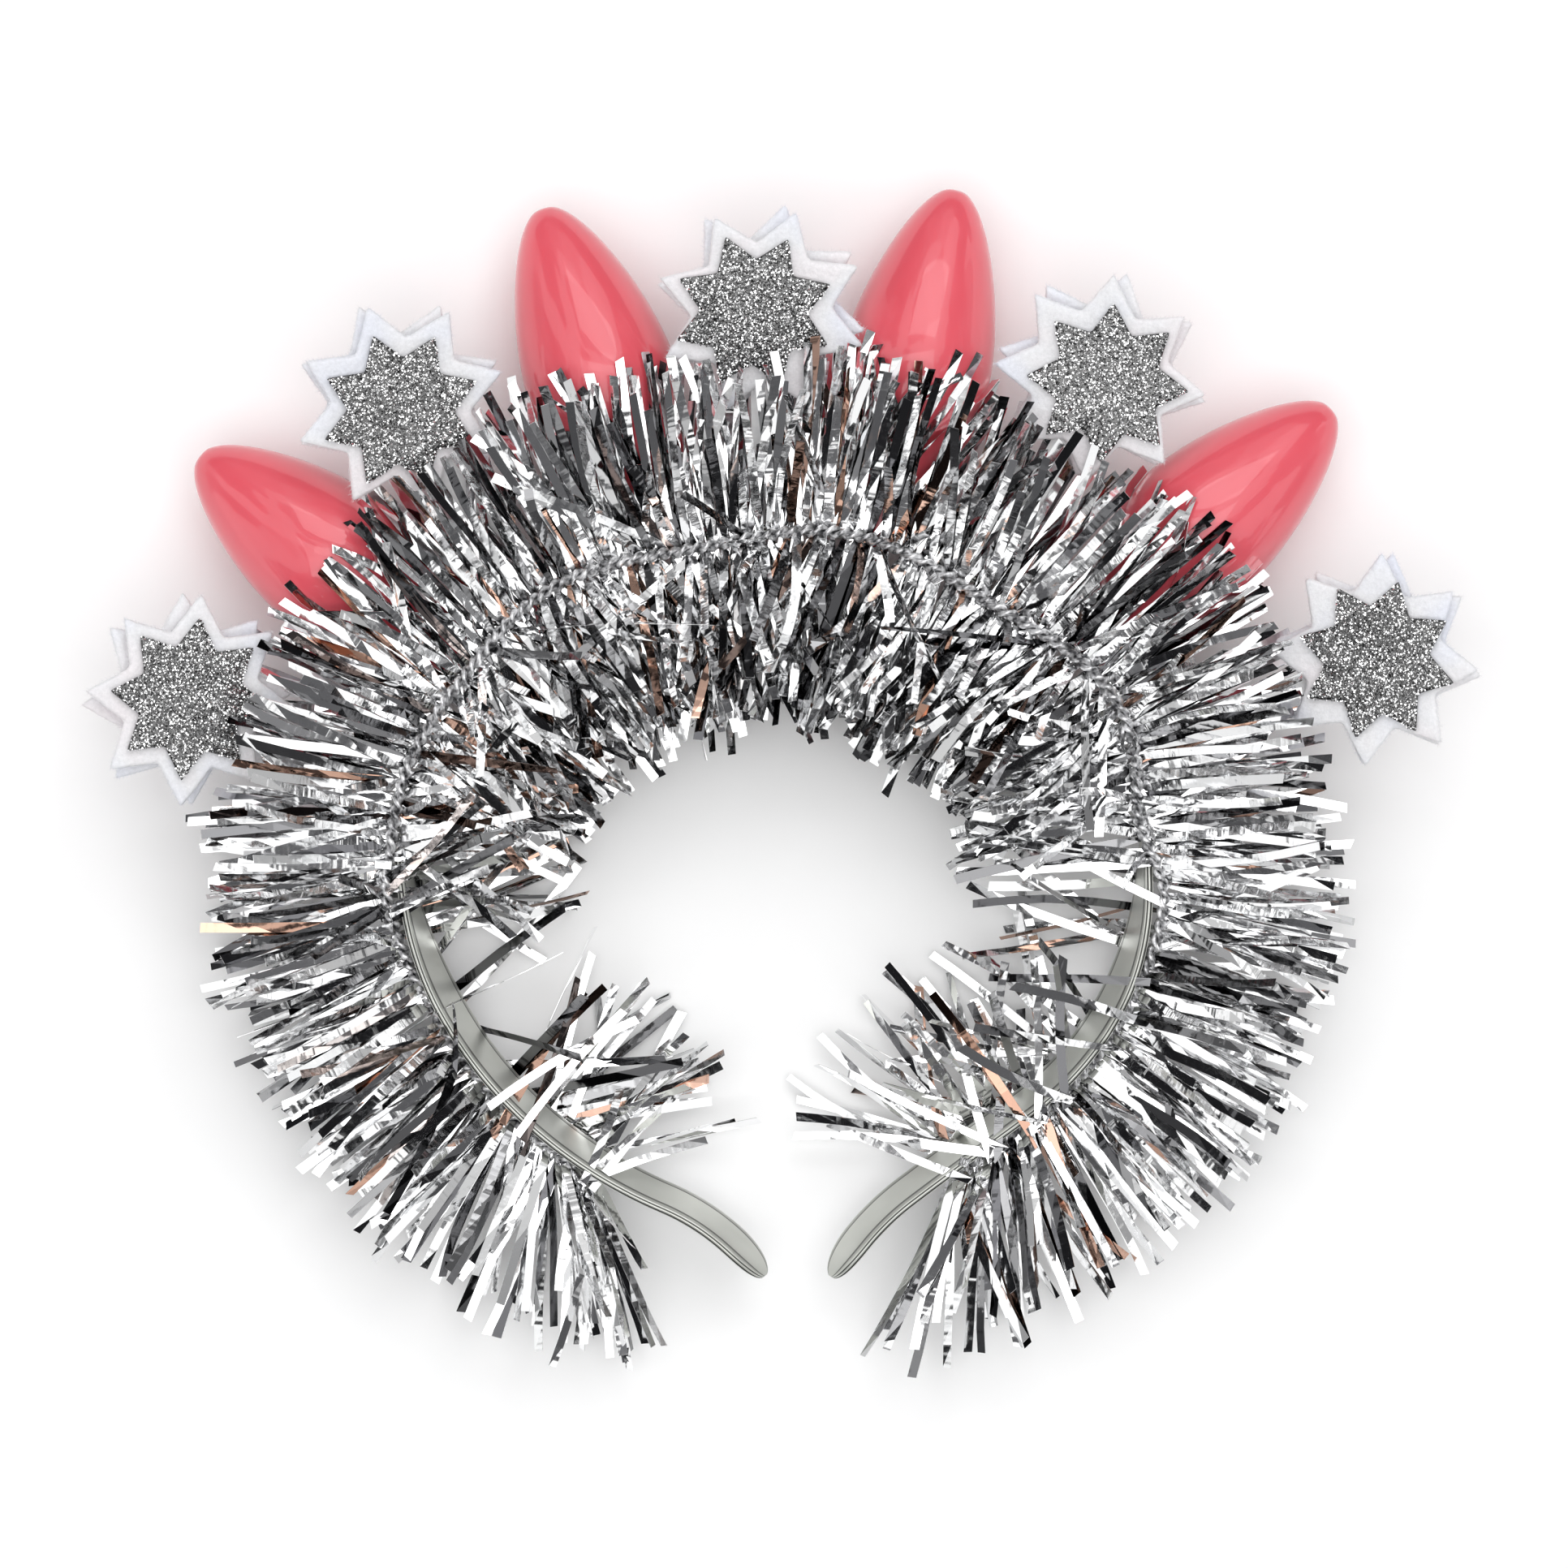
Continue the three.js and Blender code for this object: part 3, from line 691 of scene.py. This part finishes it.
def strips(count, s_from, s_to, seed):
    """Paths of foil strips standing out of the core: their points, directions and widths' directions."""
    r = np.random.default_rng(seed)
    s = s_from + (s_to - s_from) * (np.arange(count) + r.uniform(0, 1, count)) / count
    s = np.clip(s + r.normal(0, 0.8, count), GARLAND_FROM, GARLAND_TO)
    # Lean from the outward direction to the front: outward, upward and inward strips
    pick = r.uniform(0, 1, count)
    lean = np.where(
        pick < 0.52, r.uniform(-28, 42, count),
        np.where(pick < 0.555, r.uniform(42, 134, count), r.uniform(134, 211, count)),
    )
    inward = lean > 95
    share = np.where(s < 0, np.interp(-s, *zip(*INWARD_LEFT)), np.interp(s, *zip(*INWARD_RIGHT)))
    keep = ~inward | (r.uniform(0, 1, count) < share)
    s, lean, inward = s[keep], lean[keep], inward[keep]
    side = side_share(s)
    n = len(s)
    out, front = core_local(s)
    root = on_band(s, out, front)
    _, _, _, along, nrm = axes(s)
    up = np.tile([0.0, 0.0, 1.0], (n, 1))
    a = np.radians(lean)[:, None]
    spread = np.where(inward, 0.2 + 0.25 * (np.abs(s) > 125), 0.12)
    sway = np.clip(r.normal(0, 1, n) * spread, -0.9, 0.9)
    sway = np.where(r.uniform(0, 1, n) < 0.08, r.normal(0, 0.5, n), sway)
    # The last strips at each end of the garland fan out past it
    to_left = np.maximum(1 - (s - GARLAND_FROM) / FAN_L, 0)
    to_right = np.maximum(1 - (GARLAND_TO - s) / FAN_L, 0)
    fan = np.where(inward, 0.3, 1.0) * r.uniform(0.1, 1.2, n)
    sway = sway + np.tan(np.radians(FAN)) * (to_right - to_left) * fan
    d = unit(nrm * np.cos(a) + up * np.sin(a) + along * sway[:, None])
    length = REACH * np.clip(r.normal(0.985, 0.055, n), 0.75, 1.1)
    length = length * np.where(inward, 1.04, 1.0)
    upright = np.exp(-(((lean - 88) / 32) ** 2))
    length = length * (1 - 0.32 * upright)
    length = np.where(r.uniform(0, 1, n) < 0.2, length * r.uniform(0.35, 0.85, n), length)
    pts = np.zeros((n, SEGMENTS + 1, 3))
    # Over the crown the strips part to both sides of the thread
    parting = np.where(inward, -0.7, 0.7) * (1 - side)
    pts[:, 0] = root + nrm * parting[:, None] + unit(np.cross(d, along)) * r.uniform(-0.4, 0.4, (n, 1))
    round_band = (inward & (side > 0.25))[:, None]
    over = r.uniform(0, 1, n) < 0.3
    curl = r.normal(0, 0.012, (n, 3))
    kinked = r.uniform(0, 1, n) < 0.09
    kink_at = r.integers(1, SEGMENTS, n)
    for k in range(1, SEGMENTS + 1):
        step = (length * (SHARES[k] - SHARES[k - 1]))[:, None]
        noise = r.normal(0, 0.016, (n, 3))
        noise = noise + np.where((kinked & (kink_at == k))[:, None], r.normal(0, 0.28, (n, 3)), 0)
        d = unit(d + noise + curl * (k / 4))
        pts[:, k] = pts[:, k - 1] + d * step
        if k == 1:
            beside = np.where(over, BAND_T / 2 + 1.0, BAND_T / 2 + 0.4) + r.uniform(0, 0.5, n)
            edge = on_band(s, beside, np.where(over, 1, -1) * (BAND_W / 2 + 1.2 + r.uniform(0, 1.0, n)))
            pts[:, 1] = np.where(round_band, edge, pts[:, 1])
    rest = r.uniform(0.35, 2.4, (n, 1))
    pts[..., 2] = np.clip(pts[..., 2], rest, 40.2)
    for _ in range(2):
        pts[:, 1:] = clear_bulbs(pts[:, 1:])
        pts = clear_stars(pts)
        pts[..., 2] = np.maximum(pts[..., 2], 0.35)
    # Strips that still lie inside a bulb, or are pulled long, are left out
    still = np.zeros(n, bool)
    mids = (pts[:, 1:] + pts[:, :-1]) / 2
    for inv, _, foot, tall in bulb_seats:
        for q in (pts, mids):
            w = q.reshape(-1, 3) @ inv[:3, :3].T + inv[:3, 3]
            upw = (w[:, 1] - foot) / tall
            wall = bulb_radius(np.clip(upw, 0, 1)) + 0.15
            inside = (upw > 0) & (upw < 1) & (np.hypot(w[:, 0], w[:, 2]) < wall)
            still |= inside.reshape(q.shape[:2]).any(1)
    stretched = np.linalg.norm(np.diff(pts, axis=1), axis=2).sum(1) > length * 1.3
    ok = ~(still | stretched)
    pts, along = pts[ok], along[ok]
    n = len(pts)
    # Which way the foil faces
    direction = unit(np.gradient(pts, axis=1))
    twist = r.normal(0, 0.24, n)
    twist = np.where(r.uniform(0, 1, n) < 0.1, r.uniform(-1.5, 1.5, n), twist)
    turning = r.normal(0, 0.05, n)
    wide = np.zeros_like(pts)
    for k in range(SEGMENTS + 1):
        t = direction[:, k]
        w = unit(along - t * (along * t).sum(1, keepdims=True))
        v = np.cross(t, w)
        wide[:, k] = w * np.cos(twist)[:, None] + v * np.sin(twist)[:, None]
        twist = twist + turning + r.normal(0, 0.03, n)
    return pts, direction, wide, r


def strip_mesh(name, count, s_from, s_to, seed):
    pts, direction, wide, r = strips(count, s_from, s_to, seed)
    n = len(pts)
    rings = SEGMENTS + 1
    normal = unit(np.cross(direction, wide))
    half = (STRIP_W / 2 * r.uniform(0.88, 1.1, n))[:, None, None]
    narrow = np.ones(rings)
    narrow[0] = 0.45
    w = wide * half * narrow[None, :, None]
    t = normal * STRIP_T / 2
    slant = direction[:, -1] * r.normal(0, 0.3, n)[:, None]
    corners = np.stack([pts + w + t, pts - w + t, pts - w - t, pts + w - t], 2)
    corners[:, -1, 0] += slant
    corners[:, -1, 3] += slant
    corners[..., 2] = np.maximum(corners[..., 2], 0.1)
    verts = corners.reshape(-1, 3)
    o = np.arange(n) * 4 * rings
    quads = []
    for k in range(SEGMENTS):
        for j in range(4):
            a, b = 4 * k + j, 4 * k + (j + 1) % 4
            quads.append(np.stack([o + a, o + b, o + b + 4, o + a + 4], 1))
    quads.append(np.stack([o + 3, o + 2, o + 1, o], 1))
    last = 4 * SEGMENTS
    quads.append(np.stack([o + last, o + last + 1, o + last + 2, o + last + 3], 1))
    faces = np.stack(quads, 1).reshape(-1, 4)
    each = len(quads)
    # Each strip's tone: a low tone paints the strip dark, a painted dark reflection
    painted_reflection_tone = np.repeat(r.uniform(0, 1, n), each)
    tint = np.repeat(r.uniform(0, 1, n), each)
    run = r.uniform(0, 900, n)[:, None] + SHARES[None] * REACH
    run = np.repeat(run[:, :, None], 4, 2).ravel()
    return add_mesh(
        name, verts, faces, FOIL, False, {"painted_reflection_tone": painted_reflection_tone, "tint": tint}, ["tinsel_garland"], {"run": run},
    )


def make_core():
    n = 900
    s = np.linspace(GARLAND_FROM, GARLAND_TO, n)
    out, front = core_local(s)
    mid = on_band(s, out, front + STRAND_LIFT * (1 - side_share(s)))
    t = unit(np.gradient(mid, axis=0))
    up = np.tile([0.0, 0.0, 1.0], (n, 1))
    a = unit(np.cross(t, up))
    b = np.cross(a, t)
    verts, faces = [], []
    k = 6
    ring = np.linspace(0, 2 * math.pi, k, endpoint=False)
    for phase in (0, math.pi):
        turn = s * 2 * math.pi / STRAND_PITCH + phase
        centre = mid + (a * np.cos(turn)[:, None] + b * np.sin(turn)[:, None]) * STRAND_OFF
        spokes = a[:, None] * np.cos(ring)[None, :, None] + b[:, None] * np.sin(ring)[None, :, None]
        tube = centre[:, None] + spokes * STRAND_R
        start = sum(len(v) for v in verts)
        verts.append(tube.reshape(-1, 3))
        faces.append(grid_faces(n, k) + start)
    verts, faces = np.vstack(verts), np.vstack(faces)
    return add_mesh("garland_thread", verts, faces, THREAD, True, replaces=["tinsel_garland"])


make_band()
make_core()
for i, (turn, lean, stands) in enumerate(BULBS, 1):
    make_bulb(i, turn, lean, stands)
for i, row in enumerate(STARS, 1):
    make_star(i, row)

cuts = np.linspace(GARLAND_FROM, GARLAND_TO, 5)
for i, name in enumerate(("tinsel_left_leg", "tinsel_left_crown", "tinsel_right_crown", "tinsel_right_leg")):
    strip_mesh(name, int((cuts[i + 1] - cuts[i]) * PER_MM), cuts[i], cuts[i + 1], 21 + i)


# Stage, light and camera
def stage():
    m, b = new_material("floor")
    co = object_coords(m)
    n = node(m, "ShaderNodeTexNoise", Vector=co, Scale=30.0, Detail=2.0)
    link(m, ramp(m, n.outputs[0], [(0.3, grey(0.94)), (0.7, grey(0.96))]), b.inputs["Base Color"])
    b.inputs["Roughness"].default_value = 0.9
    mesh = bpy.data.meshes.new("floor")
    h = 3.0
    mesh.from_pydata([(-h, -h, 0), (h, -h, 0), (h, h, 0), (-h, h, 0)], [], [(0, 1, 2, 3)])
    mesh.materials.append(m)
    floor = bpy.data.objects.new("floor", mesh)
    bpy.context.scene.collection.objects.link(floor)


def area(name, location, size, power, target=(0, 0, 0.02)):
    light = bpy.data.lights.new(name, "AREA")
    light.shape, light.size, light.size_y, light.energy = "RECTANGLE", size[0], size[1], power
    obj = bpy.data.objects.new(name, light)
    obj.location = location
    obj.rotation_euler = (Vector(target) - Vector(location)).to_track_quat("-Z", "Y").to_euler()
    bpy.context.scene.collection.objects.link(obj)


def world():
    w = bpy.data.worlds.new("studio")
    bpy.context.scene.world = w
    w.use_nodes = True
    w.node_tree.nodes.clear()
    out = w.node_tree.nodes.new("ShaderNodeOutputWorld")
    back = w.node_tree.nodes.new("ShaderNodeBackground")
    link(w, back.outputs[0], out.inputs[0])
    co = w.node_tree.nodes.new("ShaderNodeTexCoord").outputs["Generated"]
    panes = node(w, "ShaderNodeTexVoronoi", Vector=co, Scale=2.7, Randomness=0.85)
    panes.distance = "CHEBYCHEV"
    tones = [(0.38, (0.015, 0.015, 0.017)), (0.47, (0.22, 0.22, 0.23)), (0.55, grey(0.8)), (0.62, grey(1.8))]
    link(w, ramp(w, panes.outputs["Color"], tones), back.inputs[0])
    back.inputs[1].default_value = 0.75


stage()
world()
area("top", (0, -0.25, 1.5), (1.5, 1.2), 10.5)
area("window", (0.15, 0.72, 1.1), (0.95, 0.55), 4.2)

# The camera looks straight down from HEIGHT over the arch and takes in VIEW_WIDTH, both in metres
SENSOR, HEIGHT, VIEW_WIDTH = 36, 1.1, 0.2631
camera = bpy.data.cameras.new("camera")
camera.sensor_width = SENSOR
camera.lens = SENSOR * HEIGHT / VIEW_WIDTH
cam = bpy.data.objects.new("camera", camera)
crown_x, crown_y = axes(0.0)[0][0], axes(0.0)[0][1]
cam.location = ((crown_x + 1.9) * MM, (crown_y - 43.0) * MM, HEIGHT + 0.016)
cam.rotation_euler = (0, 0, 0)
bpy.context.scene.collection.objects.link(cam)
bpy.context.scene.camera = cam
bpy.context.scene.view_settings.view_transform = "Standard"
